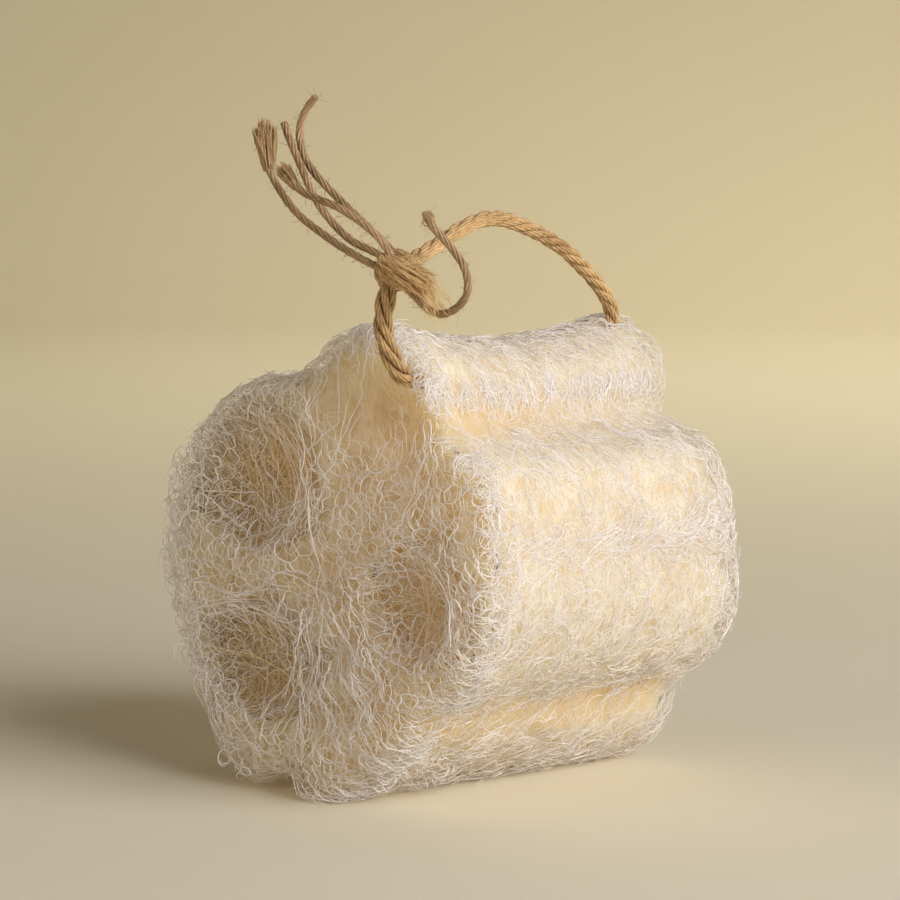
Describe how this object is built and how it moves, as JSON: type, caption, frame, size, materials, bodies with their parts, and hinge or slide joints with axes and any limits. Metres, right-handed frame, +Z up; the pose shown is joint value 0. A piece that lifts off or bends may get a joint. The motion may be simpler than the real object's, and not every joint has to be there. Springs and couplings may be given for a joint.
{
  "type": "natural loofah sponge",
  "caption": "Short cut length of dried loofah with a raised fibre net, seed chambers running through it and a knotted jute twine loop to hang it by.",
  "frame": {"origin": "under the middle of the sponge's box, on the surface that the sponge stands on", "axes": "+Y along the gourd's axis, from the front cut face to the back one; +Z up; the cut face and the wall that show are at -Y and +X"},
  "size_m": [0.0962, 0.0976, 0.1449],
  "materials": {
    "loofah_fibre": "matt dry plant fibre, cream with whiter strands on top and tan depths",
    "jute_twine": "matt twisted jute yarn, golden brown and slightly hairy"
  },
  "bodies": {
    "root": {"sponge": "loofah_fibre", "twine_loop": "jute_twine", "twine_knot": "jute_twine", "twine_tail_brush": "jute_twine", "twine_tail_middle": "jute_twine", "twine_tail_long": "jute_twine", "twine_tail_short": "jute_twine", "twine_curl": "jute_twine"}
  },
  "joints": []
}
